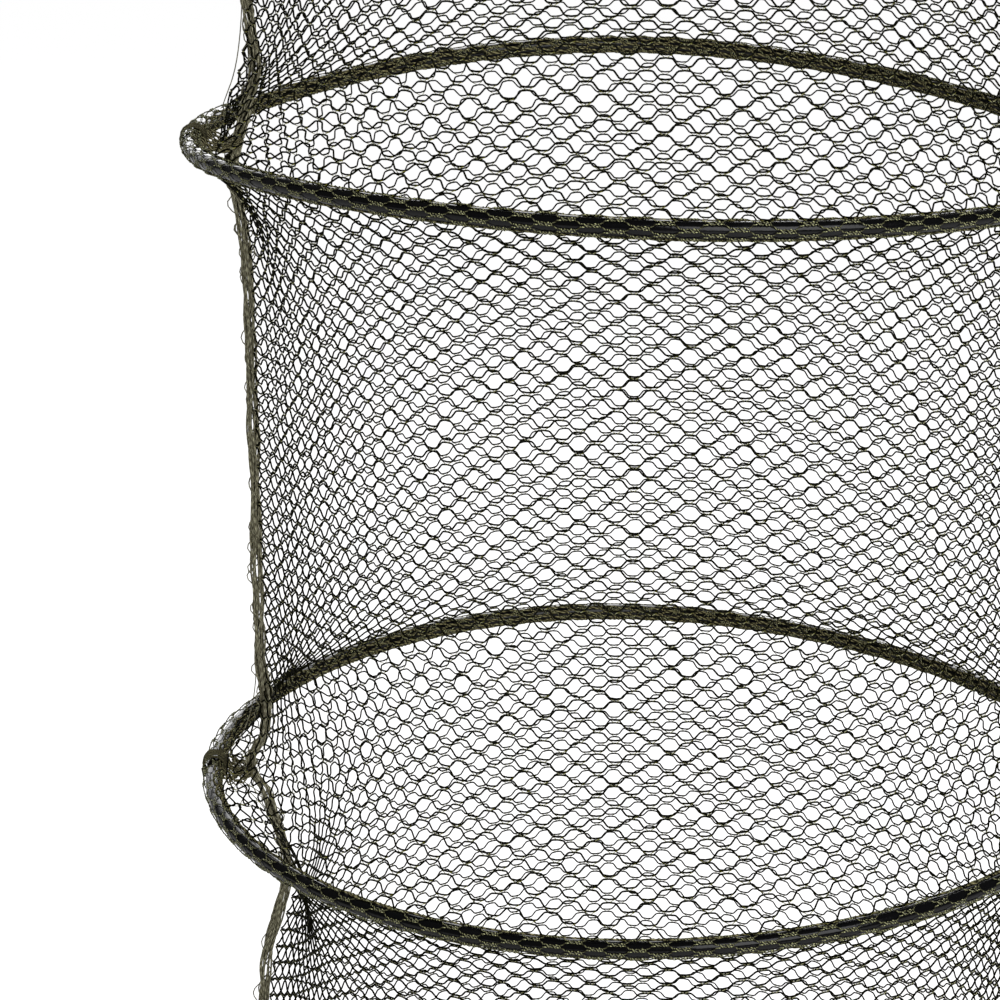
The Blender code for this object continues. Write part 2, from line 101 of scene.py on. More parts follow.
# Stud, lock nut and cap nut
# Turned brass: the stud is screwed into the bank stick and jammed there by the knurled nut,
# and the cap nut holds it in the clamp.
class Shade:
    """A value or a colour in a material; sums and products of it add Math nodes."""

    def __init__(self, tree, socket=None):
        self.tree = tree
        self.socket = socket

    def node(self, kind, settings, sockets, output=0):
        """Adds a node: its settings first, then the values or the links of its sockets."""
        made = self.tree.nodes.new(f"ShaderNode{kind}")
        for name, value in settings.items():
            setattr(made, name, value)
        for name, value in sockets.items():
            if isinstance(value, Shade):
                self.tree.links.new(value.socket, made.inputs[name])
            else:
                made.inputs[name].default_value = value
        return Shade(self.tree, made.outputs[output])

    def maths(self, operation, *values):
        """A Math node on this and the other values, in that order."""
        return self.node("Math", {"operation": operation}, dict(enumerate((self, *values))))

    def __add__(self, other):
        return self.maths("ADD", other)

    def __sub__(self, other):
        return self.maths("SUBTRACT", other)

    def __rsub__(self, other):
        return self.maths("MULTIPLY_ADD", -1.0, other)

    def __mul__(self, other):
        return self.maths("MULTIPLY", other)

    __radd__ = __add__
    __rmul__ = __mul__

    def stripes(self):
        """0 at each whole number, 1 half way between them."""
        return self.maths("PINGPONG", 0.5) * 2

    def between(self, low, high):
        """0 below low, 1 above high, smooth in between."""
        return self.node("MapRange", {"interpolation_type": "SMOOTHSTEP"}, {
            "Value": self, "From Min": low, "From Max": high})

    def colours(self, first, second):
        """The first colour where this is 0, the second where it is 1."""
        blend = {"Factor": self, 6: first, 7: second}
        return self.node("Mix", {"data_type": "RGBA"}, blend, output=2)


def new_material(name):
    """An empty material, and a Shade to build its pattern on."""
    material = bpy.data.materials.new(name)
    material.use_nodes = True
    return material, Shade(material.node_tree)


def set_shader(shade, **sockets):
    """Sets or links the Principled shader's sockets; an underscore stands for a space."""
    shader = shade.tree.nodes["Principled BSDF"]
    for name, value in sockets.items():
        socket = shader.inputs[name.replace("_", " ")]
        if isinstance(value, Shade):
            shade.tree.links.new(value.socket, socket)
        else:
            socket.default_value = value


def object_noise(shade, size, detail=2.0, stretch=(1.0, 1.0, 1.0)):
    """Noise whose grains are about so many metres across."""
    place = shade.node("TexCoord", {}, {}, output=3)
    scaled = shade.node("Mapping", {}, {"Vector": place, "Scale": stretch})
    return shade.node("TexNoise", {}, {
        "Vector": scaled, "Scale": 1 / size, "Detail": detail})


def bumped(shade, height, distance):
    """A normal that is tilted by a height from 0 to 1, over a real distance."""
    return shade.node("Bump", {}, {"Height": height, "Distance": distance})


def metal(name, colour, dull, roughness, grain):
    """Machined metal: fine turning marks, and a duller bloom where it has been handled."""
    material, shade = new_material(name)
    marks = object_noise(shade, grain, 1.0, (0.15, 0.15, 1.0))
    bloom = object_noise(shade, 0.006, 3.0).between(0.45, 0.65)
    set_shader(
        shade, Base_Color=bloom.colours((*colour, 1), (*dull, 1)), Metallic=1.0,
        Roughness=bloom * 0.15 + marks * 0.1 + roughness,
        Normal=bumped(shade, marks, 0.00002))
    return material


brass = metal("turned_brass", (0.80, 0.58, 0.26), (0.62, 0.44, 0.19), 0.18, 0.0003)
zinc = metal("zinc_plate", (0.66, 0.67, 0.68), (0.50, 0.51, 0.50), 0.22, 0.0005)


def place_piece(mesh, material, body, slot, *nodes):
    """Puts a finished mesh in the scene as a piece on its body, standing for its nodes."""
    mesh.shade_smooth()
    mesh.materials.clear()
    mesh.materials.append(material)
    piece = add_object(mesh.name, mesh)
    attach(piece, body)
    if nodes:
        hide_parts(*nodes)
    return piece


def new_piece(name, shape, material, body, slot, *nodes):
    """Makes a piece of a finished bmesh."""
    mesh = bpy.data.meshes.new(name)
    shape.to_mesh(mesh)
    shape.free()
    return place_piece(mesh, material, body, slot, *nodes)


weld_distance = 0.00001
turned_sides = 72
edge_rounding = 0.0003
clearance = 0.0003
turned_sharp = math.radians(32)


def weld(shape):
    """Joins verts that lie on each other."""
    bmesh.ops.remove_doubles(shape, verts=shape.verts, dist=weld_distance)


def turn_profile(shape, profile, sides, axis=(0, 0)):
    """Turns an outline of (radius, height) points into a solid round an upright axis."""
    verts = [shape.verts.new((axis[0] + radius, axis[1], height)) for radius, height in profile]
    edges = [shape.edges.new(pair) for pair in zip(verts, verts[1:])]
    bmesh.ops.spin(
        shape, geom=verts + edges, cent=(*axis, 0), axis=(0, 0, 1), angle=2 * math.pi, steps=sides,
        use_merge=True)
    weld(shape)


def ring_profile(bore, radius, low, high, rounding):
    """The outline of a ring whose edges are all broken."""
    return (
        (bore, low + rounding), (bore + rounding, low), (radius - rounding, low),
        (radius, low + rounding), (radius, high - rounding), (radius - rounding, high),
        (bore + rounding, high), (bore, high - rounding), (bore, low + rounding))


def draw_in(vert, most, axis=(0, 0)):
    """Moves a vert in towards an upright axis, where it lies farther out than the most."""
    x, y = vert.co.x - axis[0], vert.co.y - axis[1]
    share = min(1, most / max(math.hypot(x, y), weld_distance))
    vert.co.x, vert.co.y = axis[0] + x * share, axis[1] + y * share


def cut_flats(verts, corner_radius, axis=(0, 0)):
    """Cuts round verts back to the six flats of a hexagon, which has a corner on the X axis."""
    for vert in verts:
        around = math.atan2(vert.co.y - axis[1], vert.co.x - axis[0])
        from_flat = around % (math.pi / 3) - math.pi / 6
        draw_in(vert, corner_radius * math.cos(math.pi / 6) / math.cos(from_flat), axis)


def new_turning(node, shape, material, body, slot):
    """Places a turned solid, with its edges sharp, for the node it stands for."""
    bmesh.ops.recalc_face_normals(shape, faces=shape.faces)
    piece = new_piece(f"{node}_turning", shape, material, body, slot, node)
    piece.data.set_sharp_from_angle(angle=turned_sharp)


thread_radius = 0.00476
thread_depth = 0.00075
thread_pitch = 0.00127
thread_sides = 36
thread_start = 0.0012
journal_radius = 0.0045
flange_radius = 0.0085
flange_height = 0.0025
stud_low, stud_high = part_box("threaded_stud")
flange_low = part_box("clamp_bottom")[0].z - clearance - flange_height
turns = math.ceil((flange_low - stud_low.z) / thread_pitch) + 2
stud = bmesh.new()
thread = [
    stud.verts.new((thread_radius - depth, 0, stud_low.z - thread_pitch * (1 - share)))
    for depth, share in ((0, 0), (0, 0.1), (thread_depth, 0.5), (thread_depth, 0.6), (0, 1))]
ridge = [stud.edges.new(pair) for pair in zip(thread, thread[1:])]
bmesh.ops.spin(
    stud, geom=thread + ridge, cent=(0, 0, 0), axis=(0, 0, 1), angle=2 * math.pi * turns,
    steps=turns * thread_sides, dvec=(0, 0, thread_pitch / thread_sides))
weld(stud)
for height, side in ((stud_low.z, -1), (flange_low + edge_rounding, 1)):
    bmesh.ops.bisect_plane(
        stud, geom=stud.verts[:] + stud.edges[:] + stud.faces[:], plane_co=(0, 0, height),
        plane_no=(0, 0, side), clear_outer=True)
bmesh.ops.holes_fill(stud, edges=[edge for edge in stud.edges if edge.is_boundary], sides=0)
for vert in stud.verts:
    draw_in(vert, thread_radius - thread_start + max(vert.co.z - stud_low.z, 0))
flange_high = flange_low + flange_height
turn_profile(stud, (
    (0, stud_high.z), (journal_radius - thread_start, stud_high.z),
    (journal_radius, stud_high.z - thread_start), (journal_radius, flange_high),
    (flange_radius - edge_rounding, flange_high), (flange_radius, flange_high - edge_rounding),
    (flange_radius, flange_low + edge_rounding), (flange_radius - edge_rounding, flange_low),
    (0, flange_low)), turned_sides)
new_turning("threaded_stud", stud, brass, "bank_stick_fitting", "brass")

knurl_depth = 0.0005
knurl_count = 30
knurl_sides = 4
knurl_end = 0.0008
nut_radius = 0.0098
low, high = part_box("lock_nut")
lock_nut = bmesh.new()
turn_profile(
    lock_nut, ring_profile(thread_radius + clearance, nut_radius, low.z, high.z, knurl_end),
    knurl_count * knurl_sides)
for vert in lock_nut.verts:
    if math.hypot(vert.co.x, vert.co.y) > nut_radius - knurl_depth / 2:
        step = round(math.atan2(vert.co.y, vert.co.x) / (2 * math.pi) * knurl_count * knurl_sides)
        groove = abs(step % knurl_sides - knurl_sides / 2) / (knurl_sides / 2)
        vert.co.xy *= 1 - knurl_depth * (1 - groove) / nut_radius
new_turning("lock_nut", lock_nut, brass, "lock_nut", "brass")

cap_radius = 0.0078
cap_dome_height = 0.0045
cap_chamfer = 0.0006
dome_steps = 10
low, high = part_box("cap_nut")
dome_foot = high.z - cap_dome_height
dome_radius = cap_radius * math.cos(math.pi / 6) - cap_chamfer
cap_bore = journal_radius + clearance
cap_bore_end = stud_high.z + clearance
dome = [(0, high.z)]
for step in range(1, dome_steps + 1):
    angle = math.pi / 2 * (1 - step / dome_steps)
    dome.append((dome_radius * math.cos(angle), dome_foot + cap_dome_height * math.sin(angle)))
cap_nut = bmesh.new()
turn_profile(cap_nut, (
    *dome, (cap_radius - 2 * cap_chamfer, dome_foot), (cap_radius, dome_foot - cap_chamfer),
    (cap_radius, low.z + cap_chamfer), (cap_radius - 2 * cap_chamfer, low.z), (cap_bore, low.z),
    (cap_bore, cap_bore_end), (0, cap_bore_end)), turned_sides)
cut_flats(cap_nut.verts, cap_radius)
new_turning("cap_nut", cap_nut, brass, "bank_stick_fitting", "brass")

low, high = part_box("stud_washer")
washer = bmesh.new()
turn_profile(
    washer, ring_profile(cap_bore, high.x, low.z, high.z, edge_rounding / 2), turned_sides)
new_turning("stud_washer", washer, zinc, "bank_stick_fitting", "zinc_steel")

# Clamp, bush, screws and nuts
# Two halves moulded in black plastic close on the mouth hoop, with a nylon bush between them
# that turns on the stud. Four zinc plated screws draw them together.
moulded, shade = new_material("moulded_black")
orange_peel = object_noise(shade, 0.0006, 3.0)
scuffs = object_noise(shade, 0.009, 4.0).between(0.5, 0.7)
set_shader(
    shade, Base_Color=scuffs.colours((0.022, 0.023, 0.022, 1), (0.045, 0.046, 0.044, 1)),
    Roughness=scuffs * 0.2 + 0.38, Normal=bumped(shade, orange_peel, 0.00006))
nylon, shade = new_material("natural_nylon")
mottle = object_noise(shade, 0.002)
set_shader(
    shade, Base_Color=mottle.colours((0.74, 0.72, 0.64, 1), (0.80, 0.79, 0.73, 1)), Roughness=0.38)
moulded_rounding = 0.00025
moulded_sharp = math.radians(50)
for node in ("clamp_top", "clamp_bottom"):
    half = bmesh.new()
    half.from_mesh(frame["nodes"][node].data)
    weld(half)
    bmesh.ops.dissolve_limit(
        half, angle_limit=math.radians(1), verts=half.verts, edges=half.edges)
    creases = [
        edge for edge in half.edges
        if edge.is_manifold and edge.calc_face_angle() > math.radians(35)]
    bmesh.ops.bevel(
        half, geom=creases, offset=moulded_rounding, segments=2, profile=0.5, material=-1,
        affect="EDGES", clamp_overlap=True)
    piece = new_piece(f"{node}_moulding", half, moulded, "mouth", "clamp_plastic", node)
    piece.data.set_sharp_from_angle(angle=moulded_sharp)
bush_mesh = frame["nodes"]["swivel_bush"].data
bush_mesh.materials.clear()
bush_mesh.materials.append(nylon)
screw_sides = 48
screw_radius = 0.0015
screw_head_radius = 0.0028
screw_head_height = 0.0019
screw_crown = 0.0006
screw_key_radius = 0.0012
screw_key_depth = 0.0011
screw_nut_radius = 0.00318
for number in range(1, 5):
    low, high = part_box(f"clamp_screw_{number}")
    axis = ((low.x + high.x) / 2, (low.y + high.y) / 2)
    head_low, key_low = high.z - screw_head_height, high.z - screw_key_depth
    screw = bmesh.new()
    turn_profile(screw, (
        (0, key_low), (screw_key_radius, key_low), (screw_key_radius, high.z),
        (screw_head_radius - screw_crown, high.z),
        (screw_head_radius - screw_crown * 0.3, high.z - screw_crown * 0.3),
        (screw_head_radius, high.z - screw_crown), (screw_head_radius, head_low),
        (screw_radius, head_low), (screw_radius, low.z + edge_rounding),
        (screw_radius - edge_rounding, low.z), (0, low.z)), screw_sides, axis)
    cut_flats(
        [vert for vert in screw.verts if vert.co.z > key_low - weld_distance
         and math.hypot(vert.co.x - axis[0], vert.co.y - axis[1]) < screw_key_radius * 1.01],
        screw_key_radius, axis)
    new_turning(f"clamp_screw_{number}", screw, zinc, "mouth", "zinc_steel")
    low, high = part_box(f"clamp_nut_{number}")
    nut = bmesh.new()
    turn_profile(
        nut, ring_profile(screw_radius + clearance, screw_nut_radius, low.z, high.z, edge_rounding),
        screw_sides, axis)
    cut_flats(nut.verts, screw_nut_radius, axis)
    new_turning(f"clamp_nut_{number}", nut, zinc, "mouth", "zinc_steel")

# Hoops
# Glossy black plastic rod, bent into rings that hang a little out of true. Each is one rod
# whose ends meet in a ferrule, or in the clamp at the mouth.
hoop_names = ("mouth_hoop", "hoop_2", "hoop_3", "hoop_4")
hoop_bodies = ("mouth", *hoop_names[1:])
hoop_radius = 0.200
hoop_rod_radius = 0.0035
hoop_spacing = 0.288
hoop_steps = 144
rod_sides = 16
tilt_shares = (0.0, 0.007, 0.035, 0.0)
lean_shares = (0.0, 0.012, 0.0, 0.0)
saddle_shares = (0.0, -0.026, -0.006, 0.006)
twist_shares = (0.0, 0.001, -0.017, 0.0)
ripple_shares = (0.0, -0.011, -0.008, 0.0)
mouth_height = joints["net_swivel"]["pos_m"][2]
hoop_centres = []
for hoop, name in enumerate(hoop_names):
    low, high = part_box(name)
    hoop_centres.append(np.array((
        (low.x + high.x) / 2, (low.y + high.y) / 2, mouth_height - hoop * hoop_spacing)))


def hoop_lift(hoop, angle):
    """How high a hoop's rod lies above the hoop's centre, at an angle round it."""
    return hoop_radius * (
        tilt_shares[hoop] * np.cos(angle)
        + lean_shares[hoop] * np.sin(angle)
        + saddle_shares[hoop] * np.cos(2 * angle)
        + twist_shares[hoop] * np.sin(2 * angle)
        + ripple_shares[hoop] * np.sin(3 * angle))


def lift_to_hoop(shape, hoop):
    """Bends a shape made round the origin as its hoop is bent, and moves it to the hoop."""
    for vert in shape.verts:
        vert.co.z += hoop_lift(hoop, math.atan2(vert.co.y, vert.co.x))
    bmesh.ops.translate(shape, verts=shape.verts, vec=hoop_centres[hoop])


gloss_black, shade = new_material("gloss_black_rod")
flow = object_noise(shade, 0.004, 2.0)
wear = object_noise(shade, 0.02, 4.0).between(0.55, 0.75)
set_shader(
    shade, Base_Color=wear.colours((0.003, 0.003, 0.0035, 1), (0.008, 0.008, 0.009, 1)),
    Roughness=wear * 0.12 + 0.14, Specular_IOR_Level=0.3, Normal=bumped(shade, flow, 0.00012))

upright = Matrix.Translation((hoop_radius, 0, 0)) @ Matrix.Rotation(math.pi / 2, 4, "X")
for hoop, name in enumerate(hoop_names):
    rod = bmesh.new()
    bmesh.ops.create_circle(rod, segments=rod_sides, radius=hoop_rod_radius, matrix=upright)
    bmesh.ops.spin(
        rod, geom=rod.verts[:] + rod.edges[:], cent=(0, 0, 0), axis=(0, 0, 1),
        angle=2 * math.pi, steps=hoop_steps, use_merge=True)
    bmesh.ops.recalc_face_normals(rod, faces=rod.faces)
    lift_to_hoop(rod, hoop)
    new_piece(f"{name}_rod", rod, gloss_black, hoop_bodies[hoop], "hoop_plastic", name)

# Ferrules
# Short tubes of satin black plastic, pushed over the two ends of each lower hoop's rod. Their
# mouths are rounded, and each end is crimped.
ferrule_radius = 0.0053
ferrule_length = 0.056
ferrule_sides = 24
ferrule_steps = 56
mouth_rounding = 0.0012
crimp_depth = 0.0005
crimp_width = 0.0012
crimp_place = 0.021
satin_black, shade = new_material("satin_black_tube")
drawn = object_noise(shade, 0.0012, 3.0)
set_shader(
    shade, Base_Color=drawn.colours((0.016, 0.016, 0.017, 1), (0.034, 0.034, 0.034, 1)),
    Roughness=drawn * 0.1 + 0.34, Normal=bumped(shade, drawn, 0.00003))


def ferrule_share(from_middle):
    """The tube's radius at a distance from its middle, as a share of its full radius."""
    left = max(ferrule_length / 2 - from_middle, 0)
    inside = max(mouth_rounding - left, 0)
    rounding = mouth_rounding - math.sqrt(max(mouth_rounding ** 2 - inside ** 2, 0))
    crimp = crimp_depth * math.exp(-((from_middle - crimp_place) / crimp_width) ** 2)
    return 1 - (rounding + crimp) / ferrule_radius


for hoop in (1, 2, 3):
    half_angle = ferrule_length / 2 / hoop_radius
    tube = bmesh.new()
    bmesh.ops.create_circle(
        tube, cap_ends=True, segments=ferrule_sides, radius=ferrule_radius, matrix=upright)
    bmesh.ops.rotate(
        tube, verts=tube.verts, cent=(0, 0, 0), matrix=Matrix.Rotation(-half_angle, 3, "Z"))
    bmesh.ops.spin(
        tube, geom=tube.verts[:] + tube.edges[:] + tube.faces[:], cent=(0, 0, 0),
        axis=(0, 0, 1), angle=2 * half_angle, steps=ferrule_steps)
    bmesh.ops.recalc_face_normals(tube, faces=tube.faces)
    for vert in tube.verts:
        angle = math.atan2(vert.co.y, vert.co.x)
        middle = Vector((math.cos(angle), math.sin(angle), 0)) * hoop_radius
        vert.co = middle.lerp(vert.co, ferrule_share(abs(angle) * hoop_radius))
    lift_to_hoop(tube, hoop)
    name = f"{hoop_names[hoop]}_ferrule"
    piece = new_piece(f"{name}_tube", tube, satin_black, hoop_bodies[hoop], "ferrule_plastic", name)
    piece.data.set_sharp_from_angle(angle=moulded_sharp)

# Netting drawn round the hoops
# Knotless mesh of olive twine, knitted so that two yarns run side by side along each bar, with a
# thinner thread laced between them, and part into the legs between the bars. The strip that
# holds a hoop is stretched along the rod, widest open on the inside of the hoop.
yarn_band_share = 0.8
core_band_share = 0.9
core_share = 0.42
core_sides = 3
core_zigzag = ((-0.5, 0.5), (0.0, -0.5), (0.5, 0.5))


def rows(x, y, z):
    """Points as rows, each coordinate given as an array or as one number."""
    return np.stack(np.broadcast_arrays(x, y, z), axis=1)


def map_bands(count):
    """Equal parts of the UV map's height, in turn."""
    return iter([(part / count, (part + 1) / count) for part in range(count)])


def lay_yarn(cloth, points, radius, sides, band=(0.0, yarn_band_share), repeats=False):
    """Rolls a strip of faces into a yarn along flat points: x along the net, y off it, z up it.

    The band is the part of the UV map's height that the yarn's own way round takes.
    """
    points = np.array(points, float)
    ahead = np.vstack((points[1:], points[-1:]))
    behind = np.vstack((points[:1], points[:-1]))
    course = ahead - behind
    if repeats:
        course[0] = course[-1] = course[0] + course[-1]
    course /= np.linalg.norm(course, axis=1)[:, None]
    offset_layer = cloth.verts.layers.float_vector["offset"]
    strip = bmesh.ops.create_grid(
        cloth, x_segments=len(points) - 1, y_segments=sides, size=0.5, calc_uvs=True)["verts"]
    for loop in {loop for vert in strip for loop in vert.link_loops}:
        place = loop[cloth.loops.layers.uv["OFBake"]]
        place.uv.y = band[0] + (band[1] - band[0]) * place.uv.y
    for vert in strip:
        step = round((vert.co.x + 0.5) * (len(points) - 1))
        turn = 2 * math.pi * (vert.co.y + 0.5)
        across = Vector((-course[step][2], 0, course[step][0])).normalized()
        offset = (Vector((0, math.cos(turn), 0)) - across * math.sin(turn)) * radius
        vert[offset_layer] = offset
        vert.co = Vector(points[step]) + offset


def new_cloth():
    """A bmesh for flat netting, with the layers that lay_yarn fills."""
    cloth = bmesh.new()
    cloth.loops.layers.uv.new("OFBake")
    cloth.verts.layers.float_vector.new("offset")
    return cloth


def mesh_repeat(column, pitch, apart, radius, bar, profile, sides):
    """One repeat of the mesh: two yarns, each with a bar at the top and one at the bottom.

    The profile lists the points of a bar and a leg: how far along, how much of the fall, and how
    far off the cloth the yarn lies there. The two yarns of a bar are a little way apart, and a
    thinner thread is laced between them.
    """
    fall = pitch - apart
    cloth = new_cloth()
    for start, middle in ((0.0, 0.0), (column, -pitch)):
        points = []
        for half, side in ((0, 1), (1, -1)):
            for along, share, off in profile:
                height = side * (0.5 - share) * fall
                points.append((start + half * column + along, side * off, middle + height))
        points.append((points[0][0] + 2 * column, points[0][1], points[0][2]))
        lay_yarn(cloth, points, radius, sides, repeats=True)
        loops = [
            (start + column + bar * along, 0, middle - pitch / 2 + apart * rise)
            for along, rise in core_zigzag]
        lay_yarn(cloth, loops, radius * core_share, core_sides, (core_band_share, 1.0))
    weld(cloth)
    return cloth


def mesh_from(name, cloth, *repeats):
    """Makes a mesh of a flat cloth, repeated by Array modifiers of (count, step, merges)."""
    mesh = bpy.data.meshes.new(name)
    cloth.to_mesh(mesh)
    cloth.free()
    flat = add_object(name, mesh)
    for count, step, merges in repeats:
        array = flat.modifiers.new("repeat", "ARRAY")
        array.use_relative_offset = False
        array.use_constant_offset = True
        array.constant_offset_displace = step
        array.count = count
        array.use_merge_vertices = merges
        array.merge_threshold = weld_distance
    bpy.context.view_layer.update()
    evaluated = flat.evaluated_get(bpy.context.evaluated_depsgraph_get())
    spread = bpy.data.meshes.new_from_object(evaluated)
    bpy.data.objects.remove(flat)
    bpy.data.meshes.remove(mesh)
    spread.name = name
    return spread


def knit(name, weave, columns, yarns, x, z):
    """Flat netting from a corner at x and z. The weave is what mesh_repeat is given."""
    column, pitch = weave[:2]
    repeat = mesh_repeat(*weave)
    bmesh.ops.translate(repeat, verts=repeat.verts, vec=(x, 0, z))
    return mesh_from(
        name, repeat, (columns // 2, (2 * column, 0, 0), True), (yarns // 2, (0, 0, -2 * pitch), False))


def drape(mesh, surface):
    """Lays flat yarns on a surface of (x, z), joins them where they meet and closes cut ends.

    Each yarn keeps its thickness, however the net stretches.
    """
    flat = np.empty(len(mesh.vertices) * 3, np.float32)
    offset = np.empty_like(flat)
    mesh.vertices.foreach_get("co", flat)
    mesh.attributes["offset"].data.foreach_get("vector", offset)
    offset = offset.reshape(-1, 3).astype(float)
    centre = flat.reshape(-1, 3).astype(float) - offset
    x, z = centre[:, 0], centre[:, 2]
    nudge = 2 * weld_distance
    base = surface(x, z)
    along = surface(x + nudge, z) - base
    up = surface(x, z + nudge) - base
    along /= np.linalg.norm(along, axis=1)[:, None]
    up -= along * np.sum(along * up, axis=1)[:, None]
    up /= np.linalg.norm(up, axis=1)[:, None]
    out = np.cross(up, along)
    placed = (
        base + along * offset[:, :1] + out * (centre[:, 1:2] + offset[:, 1:2]) + up * offset[:, 2:])
    mesh.vertices.foreach_set("co", placed.astype(np.float32).ravel())
    mesh.attributes.remove(mesh.attributes["offset"])
    shape = bmesh.new()
    shape.from_mesh(mesh)
    weld(shape)
    bmesh.ops.holes_fill(shape, edges=[edge for edge in shape.edges if edge.is_boundary], sides=6)
    shape.to_mesh(mesh)
    shape.free()


def wander(x_share, z_share, x_cells, z_cells, seed):
    """Smooth noise from -1 to 1 over the net, which closes on itself round it."""
    knots = np.random.default_rng(seed).uniform(-1, 1, (x_cells, z_cells + 2))
    x = x_share % 1 * x_cells
    z = np.clip(z_share, 0, 1) * z_cells
    column, row = x.astype(int) % x_cells, z.astype(int)
    right, down = x - np.floor(x), z - row
    right, down = right * right * (3 - 2 * right), down * down * (3 - 2 * down)
    after = (column + 1) % x_cells
    upper = knots[column, row] * (1 - right) + knots[after, row] * right
    lower = knots[column, row + 1] * (1 - right) + knots[after, row + 1] * right
    return upper * (1 - down) + lower * down


def round_the_net(share, columns, bunch, floor):
    """The angle of a share of the way round, clockwise from the seam.

    Columns are crowded or stretched near the seam: the bunch is how many columns that reaches,
    and the floor is the share of its own width that a column has at the seam.
    """
    side = ((share + 0.5) % 1 - 0.5) * columns

    def spread(count):
        return floor * count + (1 - floor) * (count - bunch * (1 - np.exp(-count / bunch)))

    return math.pi - np.sign(side) * math.pi * spread(np.abs(side)) / spread(columns / 2)


def yarn_map(shade):
    """Two values on a yarn: along it, and round it."""
    place = shade.node("UVMap", {"uv_map": "OFBake"}, {})
    return [shade.node("SeparateXYZ", {}, {0: place}, output=axis) for axis in (0, 1)]


def twine(name, yarn_and_glint_colours, core_colours, lay, roughness, shine, least_lit):
    """Knitted twine: dark yarns with painted glints, and dark and light colours for the laced thread.

    The lay is how many strands show in one repeat of the mesh. The painted light falls to its least
    share from bar to leg, a painted shade on the legs.
    """
    material, shade = new_material(name)
    u, v = yarn_map(shade)
    # Painted light: glints on the strands, brightest at the bars and dimmed to painted shade on the
    # legs.
    strands = (u * lay + v * (1 / yarn_band_share)).stripes()
    fibres = (u * (lay * 4.0) + v * 3.0).stripes()
    painted_light_falloff = (u * 4.0 + 0.3).stripes() * (1 - least_lit) + least_lit
    lit = strands.between(0.4, 0.9) * painted_light_falloff
    yarn = lit.colours(*((*colour, 1) for colour in yarn_and_glint_colours))
    core = u.stripes().between(0.15, 0.6).colours(*((*colour, 1) for colour in core_colours))
    between_bands = (yarn_band_share + core_band_share) / 2
    colour = v.between(between_bands - 0.01, between_bands + 0.01).colours(yarn, core)
    set_shader(
        shade, Base_Color=colour, Roughness=roughness, Specular_IOR_Level=shine,
        Normal=bumped(shade, strands + fibres * 0.4, 0.0001))
    return material


# The sleeves' twine looks pale only through bright painted glints on near-black yarns, fading on the
# legs.
sleeve_twine = twine(
    "pale_olive_twine", ((0.024, 0.021, 0.007), (0.96, 0.98, 0.52)),
    ((0.09, 0.08, 0.03), (0.88, 0.88, 0.60)), 15.0, 0.5, 0.2, 0.15)
sleeve_columns = 150
sleeve_yarns = 8
sleeve_sides = 4
joint_columns = (4, 6, 6, 6)
sleeve_yarn_radius = 0.00027
sleeve_apart = 0.0011
sleeve_bar = 0.0056
sleeve_column = 2 * math.pi * hoop_radius / sleeve_columns
sleeve_radius = hoop_rod_radius + 0.0006
sleeve_turn = 2 * math.pi * sleeve_radius
sleeve_pitch = sleeve_turn / sleeve_yarns
loop_share = 0.15
loop_lift = 0.00022
slack_height = 0.0012
slack_angle = math.pi - 0.05
slack_half_width = 0.035
slack_soft = 0.03
slack_turn = 1.1
fine_swing = 0.0005
slow_swing = 0.0026
open_drift = 1.1
turn_drift = 0.16
sleeve_open_share = 0.36
sleeve_bunch = 1.2
sleeve_bunch_floor = 0.3
sleeve_leg = sleeve_column - sleeve_bar
sleeve_profile = [
    (sleeve_bar * (step / 5 - 0.5), loop_share * (step % 2 * 2 - 1) + 0.04, loop_lift * (step % 2))
    for step in range(6)]
sleeve_profile += [
    (sleeve_bar / 2 + sleeve_leg * 0.18, 0.14, 0.0), (sleeve_bar / 2 + sleeve_leg * 0.82, 0.86, 0.0)]


def soft_window(angle, middle, half_width, soft):
    """1 about an angle of a hoop, 0 away from it, with soft ends; the widths are lengths."""
    away = np.abs((angle - middle + math.pi) % (2 * math.pi) - math.pi) * hoop_radius
    share = np.clip((half_width + soft - away) / soft, 0, 1)
    return share * share * (3 - 2 * share)


def rod_skin(hoop, angle, turn, radius):
    """A place beside a hoop's rod: round the hoop, then round the rod, from outside and then up."""
    reach = hoop_radius + radius * np.cos(turn)
    middle = hoop_centres[hoop]
    return rows(
        middle[0] + reach * np.cos(angle), middle[1] + reach * np.sin(angle),
        middle[2] + hoop_lift(hoop, angle) + radius * np.sin(turn))


def round_the_sleeve(share, swing):
    """The angle of a share of the way round a hoop, moved along it by a swing."""
    moved = share + swing / (2 * math.pi * hoop_radius)
    return round_the_net(moved, sleeve_columns, sleeve_bunch, sleeve_bunch_floor)


def sleeve_surface(hoop):
    """The netting on a hoop's rod: x runs round the hoop and z round the rod."""
    def surface(x, z):
        share = x / (sleeve_columns * sleeve_column)
        turn_share = z / sleeve_turn
        swing = fine_swing * wander(share, turn_share % 1, 90, 6, 10 + hoop)
        swing += slow_swing * wander(share, 0 * share, 14, 1, 15 + hoop)
        angle = round_the_sleeve(share, swing)
        turn = 2 * math.pi * turn_share
        open_turn = math.pi + open_drift * wander(share, 0 * share, 11, 1, 20 + hoop)
        turn = turn + sleeve_open_share * np.sin(turn - open_turn)
        turn = turn + turn_drift * wander(share, 0 * share, 60, 1, 25 + hoop)
        slack = soft_window(angle, slack_angle, slack_half_width, slack_soft)
        slack = slack * np.clip(np.cos(turn - slack_turn), 0, 1)
        return rod_skin(hoop, angle, turn, sleeve_radius + slack_height * slack)
    return surface
